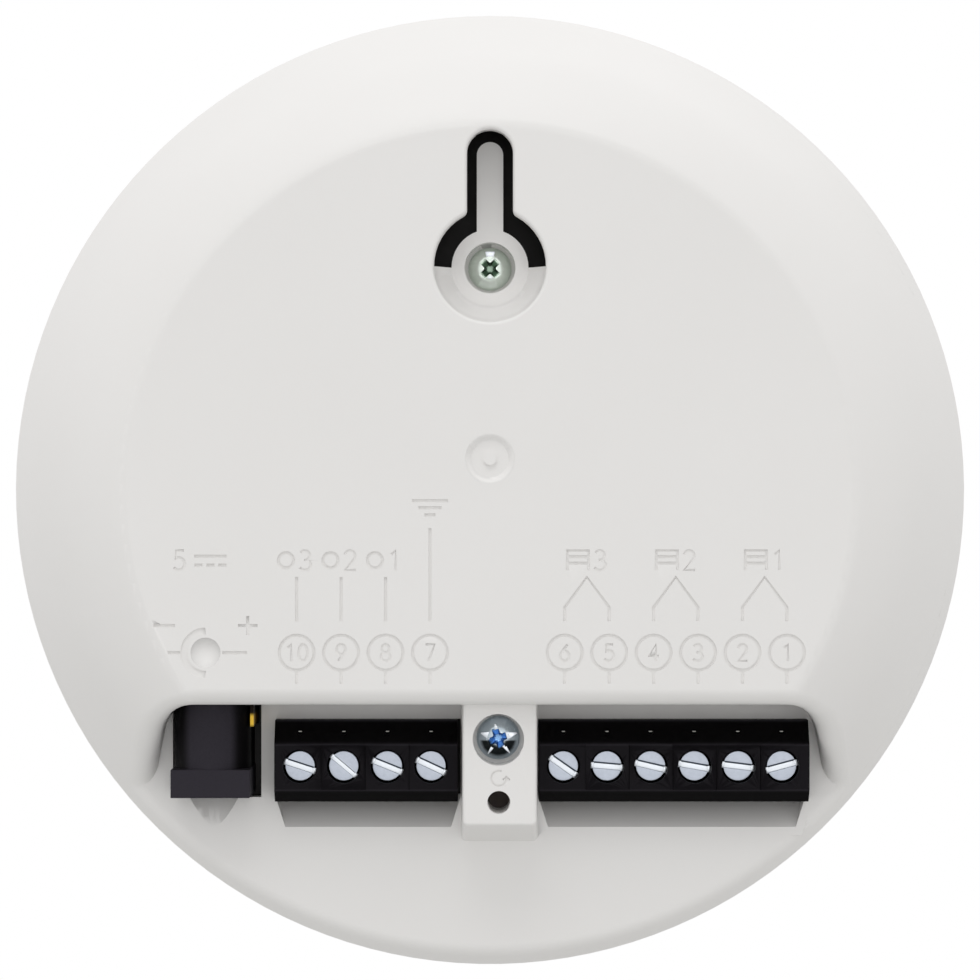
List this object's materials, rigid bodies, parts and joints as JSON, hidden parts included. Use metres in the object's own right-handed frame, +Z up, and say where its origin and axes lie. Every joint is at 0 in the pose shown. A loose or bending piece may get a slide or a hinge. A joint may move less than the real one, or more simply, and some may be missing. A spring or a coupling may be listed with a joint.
{
  "type": "garage door controller",
  "caption": "Round wall-hung garage door controller with a keyhole back, a recessed wiring bay with screw terminals, a power socket and a pinhole reset button.",
  "frame": {"origin": "middle of the flat back face, in the plane of the wall", "axes": "+Z up as it hangs, +Y away from the wall to the front, X to the right for someone looking at the back"},
  "size_m": [0.11, 0.028, 0.11],
  "materials": {
    "case_plastic": "fine matt moulded white plastic",
    "terminal_plastic": "black moulded nylon",
    "jack_plastic": "black moulded plastic, slightly glossy",
    "zinc_steel": "bright zinc plated steel, milled slot",
    "green_zinc_steel": "zinc plated steel with an olive cast",
    "blue_zinc_steel": "zinc plated steel with a blue cast",
    "cage_steel": "nickel plated steel",
    "contact_brass": "tinned brass",
    "board_laminate": "dark solder resist",
    "relay_plastic": "moulded relay case",
    "shield_metal": "tinned sheet",
    "chip_epoxy": "moulded epoxy",
    "capacitor_can": "sleeveless aluminium can",
    "button_plastic": "black moulded plastic",
    "lamp_epoxy": "lamp with a pale body",
    "clear_plastic": "moulded clear plastic"
  },
  "bodies": {
    "case": {"back_cover": "case_plastic", "front_cover": "case_plastic", "sensor_terminal_housing": "terminal_plastic", "opener_terminal_housing": "terminal_plastic", "power_jack_housing": "jack_plastic", "upper_case_screw": "green_zinc_steel", "lower_case_screw": "blue_zinc_steel", "power_jack_centre_pin": "cage_steel", "sensor_terminal_contacts": "contact_brass", "opener_terminal_contacts": "contact_brass", "power_jack_sleeve_contact": "contact_brass", "power_jack_side_contact": "contact_brass", "circuit_board": "board_laminate", "radio_board": "board_laminate", "relay_1": "relay_plastic", "relay_2": "relay_plastic", "relay_3": "relay_plastic", "radio_shield": "shield_metal", "crystal": "shield_metal", "reset_switch_plate": "shield_metal", "reset_switch_dome": "shield_metal", "reset_switch_legs": "shield_metal", "processor": "chip_epoxy", "voltage_regulator": "chip_epoxy", "inductor": "chip_epoxy", "optocouplers": "chip_epoxy", "buzzer": "chip_epoxy", "reset_switch_base": "chip_epoxy", "large_capacitor": "capacitor_can", "small_capacitor": "capacitor_can", "status_lamp": "lamp_epoxy", "light_pipe": "clear_plastic"},
    "terminal_screw_1": {"terminal_screw_1": "zinc_steel"},
    "terminal_screw_2": {"terminal_screw_2": "zinc_steel"},
    "terminal_screw_3": {"terminal_screw_3": "zinc_steel"},
    "terminal_screw_4": {"terminal_screw_4": "zinc_steel"},
    "terminal_screw_5": {"terminal_screw_5": "zinc_steel"},
    "terminal_screw_6": {"terminal_screw_6": "zinc_steel"},
    "terminal_screw_7": {"terminal_screw_7": "zinc_steel"},
    "terminal_screw_8": {"terminal_screw_8": "zinc_steel"},
    "terminal_screw_9": {"terminal_screw_9": "zinc_steel"},
    "terminal_screw_10": {"terminal_screw_10": "zinc_steel"},
    "clamp_cage_1": {"clamp_cage_1": "cage_steel"},
    "clamp_cage_2": {"clamp_cage_2": "cage_steel"},
    "clamp_cage_3": {"clamp_cage_3": "cage_steel"},
    "clamp_cage_4": {"clamp_cage_4": "cage_steel"},
    "clamp_cage_5": {"clamp_cage_5": "cage_steel"},
    "clamp_cage_6": {"clamp_cage_6": "cage_steel"},
    "clamp_cage_7": {"clamp_cage_7": "cage_steel"},
    "clamp_cage_8": {"clamp_cage_8": "cage_steel"},
    "clamp_cage_9": {"clamp_cage_9": "cage_steel"},
    "clamp_cage_10": {"clamp_cage_10": "cage_steel"},
    "reset_button": {"reset_button": "button_plastic"}
  },
  "joints": [
    {"name": "terminal_screw_1_turn", "type": "hinge", "parent": "case", "child": "terminal_screw_1", "pos_m": [0.0334, 0.0077, -0.0316], "axis": [0, 1, 0], "range_deg": [0, 1290]},
    {"name": "clamp_cage_1_lift", "type": "slide", "parent": "case", "child": "clamp_cage_1", "axis": [0, -1, 0], "range_m": [0, 0.00179]},
    {"name": "terminal_screw_2_turn", "type": "hinge", "parent": "case", "child": "terminal_screw_2", "pos_m": [0.0284, 0.0077, -0.0316], "axis": [0, 1, 0], "range_deg": [0, 1290]},
    {"name": "clamp_cage_2_lift", "type": "slide", "parent": "case", "child": "clamp_cage_2", "axis": [0, -1, 0], "range_m": [0, 0.00179]},
    {"name": "terminal_screw_3_turn", "type": "hinge", "parent": "case", "child": "terminal_screw_3", "pos_m": [0.0234, 0.0077, -0.0316], "axis": [0, 1, 0], "range_deg": [0, 1290]},
    {"name": "clamp_cage_3_lift", "type": "slide", "parent": "case", "child": "clamp_cage_3", "axis": [0, -1, 0], "range_m": [0, 0.00179]},
    {"name": "terminal_screw_4_turn", "type": "hinge", "parent": "case", "child": "terminal_screw_4", "pos_m": [0.0184, 0.0077, -0.0316], "axis": [0, 1, 0], "range_deg": [0, 1290]},
    {"name": "clamp_cage_4_lift", "type": "slide", "parent": "case", "child": "clamp_cage_4", "axis": [0, -1, 0], "range_m": [0, 0.00179]},
    {"name": "terminal_screw_5_turn", "type": "hinge", "parent": "case", "child": "terminal_screw_5", "pos_m": [0.0134, 0.0077, -0.0316], "axis": [0, 1, 0], "range_deg": [0, 1290]},
    {"name": "clamp_cage_5_lift", "type": "slide", "parent": "case", "child": "clamp_cage_5", "axis": [0, -1, 0], "range_m": [0, 0.00179]},
    {"name": "terminal_screw_6_turn", "type": "hinge", "parent": "case", "child": "terminal_screw_6", "pos_m": [0.0084, 0.0077, -0.0316], "axis": [0, 1, 0], "range_deg": [0, 1290]},
    {"name": "clamp_cage_6_lift", "type": "slide", "parent": "case", "child": "clamp_cage_6", "axis": [0, -1, 0], "range_m": [0, 0.00179]},
    {"name": "terminal_screw_7_turn", "type": "hinge", "parent": "case", "child": "terminal_screw_7", "pos_m": [-0.00675, 0.0077, -0.0316], "axis": [0, 1, 0], "range_deg": [0, 1290]},
    {"name": "clamp_cage_7_lift", "type": "slide", "parent": "case", "child": "clamp_cage_7", "axis": [0, -1, 0], "range_m": [0, 0.00179]},
    {"name": "terminal_screw_8_turn", "type": "hinge", "parent": "case", "child": "terminal_screw_8", "pos_m": [-0.01175, 0.0077, -0.0316], "axis": [0, 1, 0], "range_deg": [0, 1290]},
    {"name": "clamp_cage_8_lift", "type": "slide", "parent": "case", "child": "clamp_cage_8", "axis": [0, -1, 0], "range_m": [0, 0.00179]},
    {"name": "terminal_screw_9_turn", "type": "hinge", "parent": "case", "child": "terminal_screw_9", "pos_m": [-0.01675, 0.0077, -0.0316], "axis": [0, 1, 0], "range_deg": [0, 1290]},
    {"name": "clamp_cage_9_lift", "type": "slide", "parent": "case", "child": "clamp_cage_9", "axis": [0, -1, 0], "range_m": [0, 0.00179]},
    {"name": "terminal_screw_10_turn", "type": "hinge", "parent": "case", "child": "terminal_screw_10", "pos_m": [-0.02175, 0.0077, -0.0316], "axis": [0, 1, 0], "range_deg": [0, 1290]},
    {"name": "clamp_cage_10_lift", "type": "slide", "parent": "case", "child": "clamp_cage_10", "axis": [0, -1, 0], "range_m": [0, 0.00179]},
    {"name": "reset_button_press", "type": "slide", "parent": "case", "child": "reset_button", "axis": [0, 1, 0], "range_m": [0, 0.00025], "stiffness_N_per_m": 1500, "springref_m": -0.0004}
  ],
  "couplings": [
    {"joint": "terminal_screw_1_turn", "follows": "clamp_cage_1_lift", "rad_per_m": 12566},
    {"joint": "terminal_screw_2_turn", "follows": "clamp_cage_2_lift", "rad_per_m": 12566},
    {"joint": "terminal_screw_3_turn", "follows": "clamp_cage_3_lift", "rad_per_m": 12566},
    {"joint": "terminal_screw_4_turn", "follows": "clamp_cage_4_lift", "rad_per_m": 12566},
    {"joint": "terminal_screw_5_turn", "follows": "clamp_cage_5_lift", "rad_per_m": 12566},
    {"joint": "terminal_screw_6_turn", "follows": "clamp_cage_6_lift", "rad_per_m": 12566},
    {"joint": "terminal_screw_7_turn", "follows": "clamp_cage_7_lift", "rad_per_m": 12566},
    {"joint": "terminal_screw_8_turn", "follows": "clamp_cage_8_lift", "rad_per_m": 12566},
    {"joint": "terminal_screw_9_turn", "follows": "clamp_cage_9_lift", "rad_per_m": 12566},
    {"joint": "terminal_screw_10_turn", "follows": "clamp_cage_10_lift", "rad_per_m": 12566}
  ]
}
